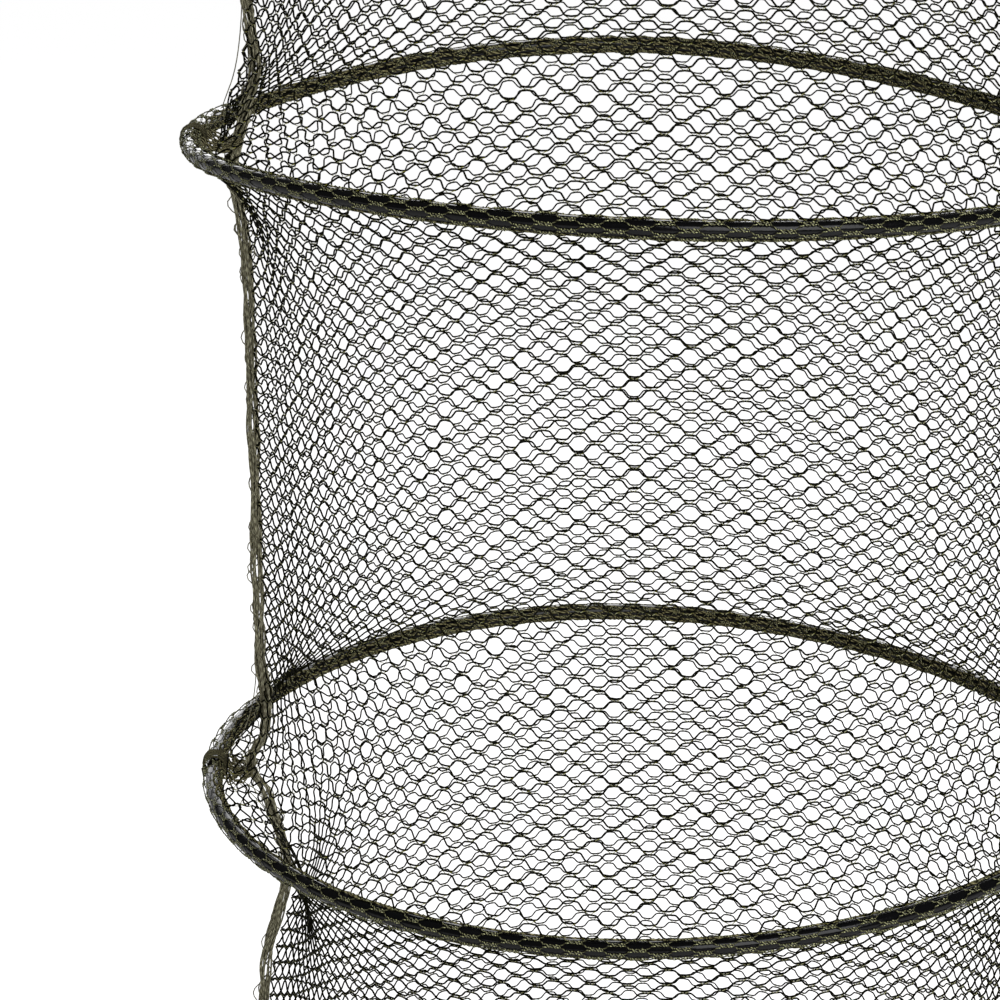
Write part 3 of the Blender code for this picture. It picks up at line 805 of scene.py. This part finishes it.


# The strip's edge laps over on the inside of the hoop, close on the rod, in the net's darker twine:
# its darkness is painted shade under the sleeve, and its light strands are dimmer painted glints.
lining_twine = twine(
    "shaded_olive_twine", ((0.040, 0.035, 0.016), (0.52, 0.475, 0.24)),
    ((0.04, 0.035, 0.015), (0.34, 0.31, 0.16)), 11.0, 0.8, 0.1, 0.55)
lining_yarns = 8
lining_pitch = 0.0014
lining_yarn_radius = 0.00045
lining_apart_share = 0.4
lining_swing = 0.003
lining_drift = 0.3
lining_profile = (
    (-sleeve_bar / 2, 0.0, 0.0), (sleeve_bar / 2, 0.0, 0.0),
    (sleeve_bar / 2 + sleeve_leg * 0.2, 0.1, 0.0), (sleeve_bar / 2 + sleeve_leg * 0.8, 0.9, 0.0))


def lining_surface(hoop):
    """The lap under the sleeve: x runs round the hoop and z over the rod's inner side."""
    def surface(x, z):
        share = x / (sleeve_columns * sleeve_column)
        swing = lining_swing * wander(share, 0.5 + z / sleeve_turn, 70, 5, 110 + hoop)
        angle = round_the_sleeve(share, swing)
        drift = lining_drift * wander(share, 0 * share, 50, 1, 115 + hoop)
        turn = math.pi + z / hoop_rod_radius + drift
        return rod_skin(hoop, angle, turn, hoop_rod_radius + lining_yarn_radius / 2 + 0 * x)
    return surface


sleeve_weave = (
    sleeve_column, sleeve_pitch, sleeve_apart, sleeve_yarn_radius, sleeve_bar, sleeve_profile,
    sleeve_sides)
lining_weave = (
    sleeve_column, lining_pitch, lining_pitch * lining_apart_share, lining_yarn_radius, sleeve_bar,
    lining_profile, sleeve_sides)
for hoop, name in enumerate(hoop_names):
    columns = sleeve_columns - joint_columns[hoop]
    netting = knit(
        f"{name}_sleeve_net", sleeve_weave, columns, sleeve_yarns, -columns * sleeve_column / 2, 0)
    drape(netting, sleeve_surface(hoop))
    piece = place_piece(
        netting, sleeve_twine, hoop_bodies[hoop], "sleeve_netting", f"{name}_sleeve")
    lining = knit(
        f"{name}_sleeve_lap", lining_weave, columns, lining_yarns,
        -(columns - 0.5) * sleeve_column / 2, lining_pitch * lining_yarns / 2)
    drape(lining, lining_surface(hoop))
    lining = place_piece(lining, lining_twine, hoop_bodies[hoop], "sleeve_netting")

# Net sections
# The same mesh at its own size, hung as a tube between each hoop and the next. It draws in to
# a waist below a hoop. Its edges are gathered in the seam, which pulls it out to a soft ridge and
# holds it straight across the bend of each rod.
# Dark olive twine whose yarns are painted down to near black as painted shade; the laced thread stays
# pale olive.
net_twine = twine(
    "olive_twine", ((0.003, 0.003, 0.001), (0.018, 0.018, 0.006)),
    ((0.34, 0.33, 0.05), (0.80, 0.80, 0.46)), 9.0, 0.8, 0.06, 0.55)
net_columns = 150
net_yarns = 64
net_yarn_radius = 0.00045
net_sides = 3
net_apart = 0.0012
net_bar = 0.0047
net_column = 0.0078
net_leg = net_column - net_bar
section_height = 0.2746
net_pitch = section_height / net_yarns
net_profile = (
    (-net_bar / 2, 0.05, 0.0), (0.0, -0.02, 0.0), (net_bar / 2, 0.05, 0.0),
    (net_bar / 2 + net_leg * 0.2, 0.17, 0.0), (net_bar / 2 + net_leg * 0.8, 0.83, 0.0))
net_bunch = 10.0
net_bunch_floor = 1.25
waist_share = 0.87
flare_length = 0.025
seam_flare_share = 0.56
seam_flare_angle = math.radians(20)
pinch_depth = 0.012
pinch_drop = 0.046
pinch_reach = 0.035
pinch_angle = math.radians(24)
seam_pull = 0.016
seam_pull_angle = math.radians(11.5)
seam_slack = 0.0136
seam_slack_angle = math.radians(45)
seam_reach_shares = (0.97, 0.92, 0.965, 0.97)
sleeve_seat = 0.0034
ferrule_seat = 0.0048
clamp_seat = 0.0112
tie_seat = 0.0046
seat_soft = 0.018
crumple_size = 0.0005
drift_along = 0.0016
drift_down = 0.003
swell_size = 0.002
held_share = 1 / 14


def net_seat(hoop, angle):
    """How far from the rod's centre line the netting leaves what the rod carries there."""
    joint_seat, joint_half = (clamp_seat, 0.021) if hoop == 0 else (ferrule_seat, 0.028)
    seat = sleeve_seat + (joint_seat - sleeve_seat) * soft_window(angle, 0, joint_half, seat_soft)
    return seat + (tie_seat - sleeve_seat) * soft_window(angle, math.pi, 0.0045, seat_soft)


def net_place(section, angle, drop, swell=0.0):
    """A place on a section's tube; drop runs from 0 at its upper edge to 1 at its lower one."""
    upper, lower = hoop_centres[section], hoop_centres[section + 1]
    top = upper[2] + hoop_lift(section, angle) - net_seat(section, angle)
    bottom = lower[2] + hoop_lift(section + 1, angle) + net_seat(section + 1, angle)
    near = np.clip(np.minimum(drop, 1 - drop), 0, 1) * section_height
    away = np.abs(angle - math.pi)
    held = np.exp(-(away / seam_flare_angle) ** 2)
    free = 1 - np.exp(-near / (flare_length * (1 - (1 - seam_flare_share) * held)))
    radius = hoop_radius * (1 - (1 - waist_share) * free) + swell
    if section == 2:
        down = (drop * section_height - pinch_drop) / pinch_reach
        radius -= pinch_depth * np.exp(-down ** 2 - (away / pinch_angle) ** 2)
    reach = seam_reach_shares[section] * (1 - drop) + seam_reach_shares[section + 1] * drop
    radius += free * seam_pull * np.exp(-away / seam_pull_angle)
    radius -= free * seam_slack * np.exp(-(away / seam_slack_angle) ** 2)
    radius = np.minimum(radius, hoop_radius * reach / np.maximum(-np.cos(angle), 0.1))
    return rows(
        upper[0] + radius * np.cos(angle) + (lower[0] - upper[0]) * drop,
        upper[1] + radius * np.sin(angle), top + (bottom - top) * drop)


def net_surface(section):
    """The tube of a section: x runs round it from the seam, and z down from its upper edge."""
    def surface(x, z):
        share = x / (net_columns * net_column)
        drop = (net_pitch / 2 - z) / section_height
        hold = np.clip(np.minimum(drop, 1 - drop) / held_share, 0, 1)
        crumple = hold * crumple_size
        side = crumple * wander(share, drop, 96, 24, 30 + section)
        side += hold * drift_along * wander(share, drop, 9, 4, 40 + section)
        fall = 0.6 * crumple * wander(share, drop, 90, 26, 50 + section)
        fall += hold * drift_down * wander(share, drop, 8, 4, 60 + section)
        share = share + side / (net_columns * net_column)
        drop = drop + fall / section_height
        angle = round_the_net(share, net_columns, net_bunch, net_bunch_floor)
        swell = hold * swell_size * wander(share, drop, 22, 5, 70 + section)
        return net_place(section, angle, drop, swell)
    return surface


def squash_with_hoop(piece):
    """Gives a piece of a section a mesh of its own."""
    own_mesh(piece)


half_yarns = net_yarns // 2
net_weave = (net_column, net_pitch, net_apart, net_yarn_radius, net_bar, net_profile, net_sides)
for section in range(3):
    node = f"net_section_{section + 1}"
    for part, first in (("upper", 0), ("lower", half_yarns)):
        netting = knit(
            f"{node}_{part}", net_weave, net_columns, half_yarns, 0, -first * net_pitch)
        drape(netting, net_surface(section))
        stands_for = (node,) if part == "upper" else ()
        piece = place_piece(netting, net_twine, hoop_bodies[section], "netting", *stands_for)
        squash_with_hoop(piece)

# Side seam
# The edges of the netting, gathered into a bundle of strands down the left of each section. Near
# a hoop the bundle lies a little inside the net, and a fan of stretched meshes opens beside it.
seam_olive, shade = new_material("olive_seam_twine")
u, v = yarn_map(shade)
# Painted light: bright highlight streaks along the strands, dimmed in patches, with both colours made
# lighter as painted light on the bundle's unlit left side.
strands = (u * 83.0 + v * 57.3).stripes()
patches = (u * 19.7 + v * 33.1).stripes()
lit = strands.between(0.25, 0.95) * (patches.between(0.1, 0.9) * 0.75 + 0.25)
set_shader(
    shade, Base_Color=lit.colours((0.13, 0.115, 0.07, 1), (0.98, 0.95, 0.66, 1)), Roughness=0.7,
    Specular_IOR_Level=0.15, Normal=bumped(shade, strands, 0.0002))
seam_steps = 140
seam_strands = 15
seam_strand_sides = 5
seam_strand_radius = 0.00045
seam_loops = 3
seam_loop_radius = 0.00026
seam_half_width = 0.0018
loop_half_width = 0.0034
seam_stand_off = 0.0016
seam_insets = (
    (0.020, 0.0, 0.030, 0.020), (0.045, 0.020, 0.026, 0.026),
    (0.055, 0.0, 0.035, 0.018), (0.020, 0.0, 0.030, 0.020))
seam_length = hoop_spacing
fan_yarns = 2
fan_cell = 0.011
fan_radius = 0.00024
fan_sides = 4
whip_pitch = 0.019
whip_radius = 0.0003
whip_steps = 14
seam_from_hoop = 0.0006
edge_steps = 61


def seam_inset(hoop, above):
    """How far inside the net's left edge a hoop draws the bundle, at a height above the hoop.

    The insets are the greatest one's share of the hoop's radius, its height above the hoop, and
    how far it reaches up and down from there.
    """
    share, height, reach_up, reach_down = seam_insets[hoop]
    reach = np.where(above > height, reach_up, reach_down)
    return hoop_radius * share * np.exp(-((above - height) / reach) ** 2)


def section_inset(section, share):
    """The same for a section's bundle, from 0 at its upper hoop to 1 at its lower one."""
    return seam_inset(section, -share * seam_length) + seam_inset(section + 1, (1 - share) * seam_length)


def seam_surface(section):
    """Down the net's left edge: x runs outward from the bundle, and z down from hoop to hoop."""
    upper, lower = hoop_centres[section], hoop_centres[section + 1]
    drops = np.linspace(0, 1, edge_steps)
    edge = net_place(section, np.full(edge_steps, math.pi), drops)[:, 0] - seam_stand_off
    top = upper[2] + hoop_lift(section, math.pi) - seam_from_hoop
    bottom = lower[2] + hoop_lift(section + 1, math.pi) + seam_from_hoop

    def surface(x, z):
        share = -z / seam_length
        left = np.interp(share, drops, edge) + section_inset(section, share)
        return rows(left - x, upper[1], top + (bottom - top) * share)
    return surface


def seam_wave(rng, shares, half_width, waves):
    """A strand's way across the seam: a few slow waves within its width."""
    wave = sum(
        np.sin(2 * math.pi * (shares * count + rng.uniform()))
        for count in rng.uniform(*waves, 3))
    return half_width * wave / 2


shares = np.linspace(0, 1, seam_steps)
down = -shares * seam_length
for section in range(3):
    rng = np.random.default_rng(80 + section)
    cloth = new_cloth()
    bands = map_bands(seam_strands + seam_loops + fan_yarns + 1)
    for strand in range(seam_strands):
        ring = 2 * math.pi * strand / seam_strands
        across = seam_half_width * math.cos(ring) + seam_wave(rng, shares, 0.0008, (3, 9))
        off = seam_half_width * math.sin(ring) + seam_wave(rng, shares, 0.0005, (3, 9))
        lay_yarn(
            cloth, rows(across, off, down), seam_strand_radius, seam_strand_sides, next(bands))
    for strand in range(seam_loops):
        across = seam_wave(rng, shares, loop_half_width, (9, 17))
        off = seam_wave(rng, shares, 0.0008, (5, 15))
        lay_yarn(cloth, rows(across, off, down), seam_loop_radius, fan_sides, next(bands))
    inset = section_inset(section, shares)
    cells = round(seam_length / fan_cell)
    for strand in range(1, fan_yarns + 1):
        spacing = inset / fan_yarns
        zigzag = 0.45 * spacing * np.sin(2 * math.pi * (cells * shares + strand / 2))
        across = seam_half_width / 2 + spacing * strand + zigzag * (strand < fan_yarns)
        off = seam_wave(rng, shares, 0.0012, (4, 12))
        lay_yarn(cloth, rows(across, off, down), fan_radius, fan_sides, next(bands))
    turns = round(seam_length / whip_pitch)
    whip = np.linspace(0, 1, turns * whip_steps + 1)
    reach = seam_half_width + seam_strand_radius + whip_radius
    across, off = (reach * wave(2 * math.pi * turns * whip) for wave in (np.cos, np.sin))
    lay_yarn(
        cloth, rows(across, off, -whip * seam_length), whip_radius, fan_sides, next(bands))
    seam = mesh_from(f"side_seam_{section + 1}_strands", cloth)
    drape(seam, seam_surface(section))
    piece = place_piece(
        seam, seam_olive, hoop_bodies[section], "seam_twine", f"side_seam_{section + 1}")
    squash_with_hoop(piece)

# Seam ties
# Dark twine lashed round each rod and its sleeve, and a web of the same twine and gathered
# netting that holds the seam across to it.
tie_radius = 0.0005
tie_turns = 7
tie_half_width = 0.0045
tie_steps = 18
tie_sides = 6
web_half_widths = (0.018, 0.024, 0.017, 0.018)
web_strands = 20
web_bars = 6
web_radius = 0.00042
web_sides = 4
web_sag = 0.003
web_steps = 16
web_gather = 0.65
tie_dark, shade = new_material("dark_tie_twine")
u, v = yarn_map(shade)
# Painted highlights: the twist's strands are painted in light olive on the dark twine.
strands = (u * 5.0 + v * 61.7).stripes()
lit = strands.between(0.4, 0.95)
set_shader(
    shade, Base_Color=lit.colours((0.045, 0.038, 0.018, 1), (0.55, 0.51, 0.28, 1)),
    Roughness=0.75, Specular_IOR_Level=0.15, Normal=bumped(shade, strands, 0.0002))


def tie_surface(hoop):
    """Over the sleeve, where the seam meets it: x runs along the hoop and z round the rod."""
    radius = sleeve_radius + sleeve_yarn_radius + tie_radius

    def surface(x, z):
        return rod_skin(hoop, math.pi - x / hoop_radius, z / sleeve_radius, radius + 0 * x)
    return surface


def web_length(hoop):
    """From the rod's inner side to the seam's bundle."""
    return hoop_radius * (1 - seam_reach_shares[hoop]) + seam_inset(hoop, 0) - hoop_rod_radius


def web_surface(hoop):
    """Between a rod's left bend and the seam: x runs along the hoop, and z inward from the rod."""
    middle = hoop_centres[hoop]

    def surface(x, z):
        share = -z / web_length(hoop)
        rod = rod_skin(hoop, math.pi - x / hoop_radius, 0 * x, 0 * x - hoop_rod_radius)
        seam = rows(
            middle[0] - hoop_radius + hoop_rod_radius + web_length(hoop),
            middle[1] + x * web_gather, middle[2] + hoop_lift(hoop, math.pi))
        placed = rod + (seam - rod) * share[:, None]
        placed[:, 2] -= web_sag * np.sin(math.pi * np.clip(share, 0, 1))
        return placed
    return surface


for hoop, name in enumerate(hoop_names):
    rng = np.random.default_rng(90 + hoop)
    cloth = new_cloth()
    wound = np.linspace(0, 1, tie_turns * tie_steps + 1)
    across = tie_half_width * (2 * wound - 1) + seam_wave(rng, wound, 0.0006, (2, 7))
    off = 0.0002 + np.abs(seam_wave(rng, wound, 0.0004, (3, 11)))
    around = -2 * math.pi * tie_turns * sleeve_radius * wound
    lay_yarn(cloth, rows(across, off, around), tie_radius, tie_sides)
    tie = mesh_from(f"{name}_tie_twine", cloth)
    drape(tie, tie_surface(hoop))
    place_piece(tie, tie_dark, hoop_bodies[hoop], "tie_twine", f"{name}_seam_tie")
    cloth = new_cloth()
    run = np.linspace(0, 1, web_steps)
    bands = map_bands(web_strands + web_bars)
    half_width = web_half_widths[hoop]
    for strand in range(web_strands):
        start = half_width * (2 * (strand + rng.uniform(0.2, 0.8)) / web_strands - 1)
        across = start + seam_wave(rng, run, 0.0022, (0.5, 2))
        off = seam_wave(rng, run, 0.0010, (1, 3))
        lay_yarn(
            cloth, rows(across, off, -run * web_length(hoop)), web_radius, web_sides, next(bands))
    for bar in range(web_bars):
        across = half_width * (2 * run - 1) * rng.uniform(0.5, 0.95)
        inward = web_length(hoop) * (bar + 0.5) / web_bars + seam_wave(rng, run, 0.0025, (1, 3))
        off = seam_wave(rng, run, 0.0010, (1, 3))
        lay_yarn(cloth, rows(across, off, -inward), web_radius, web_sides, next(bands))
    web = mesh_from(f"{name}_seam_web", cloth)
    drape(web, web_surface(hoop))
    place_piece(web, tie_dark, hoop_bodies[hoop], "tie_twine")

# Bottom net
# A round panel of the same mesh, in a little finer twine. It sags under its own weight, and its
# edge is turned over a rim cord that is whipped to the last hoop.
bottom_columns = 50
bottom_yarns = 92
bottom_yarn_radius = 0.00036
bottom_rim = 0.1933
bottom_sag = 0.028
rim_cord_radius = 0.0009
rim_cord_steps = 240
rim_cord_sides = 6
stitch_sides = 4
stitches = 130
stitch_steps = 10
stitch_radius = 0.00036
last_hoop = 3
bottom_middle = hoop_centres[last_hoop]


def bottom_surface(x, z):
    """The sagging panel: x and z run over it, from its middle."""
    radius = np.hypot(x, z)
    angle = np.arctan2(z, x)
    sag = bottom_sag * (1 - np.minimum(radius / bottom_rim, 1) ** 2)
    lift = hoop_lift(last_hoop, angle) * radius / hoop_radius
    return rows(bottom_middle[0] + x, bottom_middle[1] + z, bottom_middle[2] + lift - sag)


width, depth = bottom_columns * net_column, bottom_yarns * net_pitch
bottom_weave = (
    net_column, net_pitch, net_apart, bottom_yarn_radius, net_bar, net_profile, net_sides)
panel = knit(
    "bottom_net_panel", bottom_weave, bottom_columns, bottom_yarns, -width / 2, depth / 2)
shape = bmesh.new()
shape.from_mesh(panel)
offset_layer = shape.verts.layers.float_vector["offset"]
outside = [vert for vert in shape.verts if (vert.co - vert[offset_layer]).length > bottom_rim]
bmesh.ops.delete(shape, geom=outside, context="VERTS")
caps = [face for face in shape.faces if all(edge.is_boundary for edge in face.edges)]
bmesh.ops.delete(shape, geom=caps, context="FACES")
shape.to_mesh(panel)
shape.free()
drape(panel, bottom_surface)
panel = place_piece(panel, net_twine, hoop_bodies[last_hoop], "netting", "bottom_net")
cloth = new_cloth()
round_shares = np.linspace(0, 1, rim_cord_steps + 1)
lay_yarn(
    cloth, rows(
        2 * math.pi * hoop_radius * round_shares, -rim_cord_radius - stitch_radius,
        -math.pi * sleeve_radius), rim_cord_radius, rim_cord_sides)
wound = np.linspace(0, 1, stitches * stitch_steps + 1)
lay_yarn(
    cloth, rows(
        2 * math.pi * hoop_radius * wound, 0.0, -2 * math.pi * stitches * sleeve_radius * wound),
    stitch_radius, stitch_sides)
rim = mesh_from("bottom_rim_stitching", cloth)


def rim_surface(x, z):
    """The loops that hold the rim cord to the rod: x runs round the hoop and z round the rod."""
    reach = (hoop_radius - sleeve_radius - bottom_rim) / 2
    radius = sleeve_radius + sleeve_yarn_radius + stitch_radius + reach
    angle = -x / hoop_radius
    inward = rows(np.cos(angle), np.sin(angle), 0.0) * reach
    return rod_skin(last_hoop, angle, z / sleeve_radius, radius + 0 * x) - inward


drape(rim, rim_surface)
rim = place_piece(rim, tie_dark, hoop_bodies[last_hoop], "netting")

# Floor, backdrop and light
# A plain white floor below the hanging net, soft studio light from the front, and a weak light
# from behind.
floor_mesh = bpy.data.meshes.new("floor")
floor_shape = bmesh.new()
bmesh.ops.create_grid(floor_shape, x_segments=1, y_segments=1, size=20)
bmesh.ops.translate(floor_shape, verts=floor_shape.verts, vec=(0, 0, cad_low.z - 0.12))
floor_shape.to_mesh(floor_mesh)
floor_shape.free()
add_object("floor", floor_mesh)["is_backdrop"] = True


def seen_light(shade, straight, mirrored):
    """A light's strength where the camera sees it straight or through glass, and in a mirror."""
    camera_ray, glossy_ray, clear_ray = (
        shade.node("LightPath", {}, {}, output=output) for output in (0, 3, 6))
    return (camera_ray + clear_ray) * straight + glossy_ray * mirrored


floor_glow = 0.74
floor_mirrored = 0.2
paper, shade = new_material("white_paper")
grain = object_noise(shade, 0.4)
set_shader(
    shade, Base_Color=grain.colours((0.86, 0.86, 0.86, 1), (0.88, 0.88, 0.88, 1)), Roughness=0.9,
    Specular_IOR_Level=0.0, Emission_Color=(1, 1, 1, 1),
    Emission_Strength=seen_light(shade, floor_glow, floor_mirrored))
floor_mesh.materials.append(paper)

world = bpy.data.worlds.new("studio")
bpy.context.scene.world = world
world.use_nodes = True
sky = Shade(world.node_tree)
direction = sky.node("TexCoord", {}, {}, output=0)
ahead = sky.node("SeparateXYZ", {}, {0: direction}, output=1)
behind = ahead.between(0.75, 0.98)
room_level = 0.28
sweep_level = 3.5
dark_level = 0.08
mirrored = behind * (sweep_level - dark_level) + (dark_level - room_level)
strength = seen_light(sky, 1 - room_level, mirrored) + room_level
backdrop = world.node_tree.nodes["Background"]
backdrop.inputs["Color"].default_value = (1, 1, 1, 1)
world.node_tree.links.new(strength.socket, backdrop.inputs["Strength"])


def soft_box(name, place, aim, size, power):
    """A square lamp that faces a point."""
    lamp = bpy.data.lights.new(name, "AREA")
    lamp.size = size
    lamp.energy = power
    thing = add_object(name, lamp)
    direction = Vector(aim) - Vector(place)
    turn = direction.to_track_quat("-Z", "Y").to_matrix().to_4x4()
    thing.matrix_world = Matrix.Translation(place) @ turn


net_middle = (cad_low + cad_high) / 2
soft_box("key", (0.9, -2.4, 1.3), net_middle, 2.2, 50)
soft_box("rim", (0.2, 1.8, 1.2), net_middle, 1.4, 14)
bpy.context.scene.view_settings.view_transform = "Standard"

low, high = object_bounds()
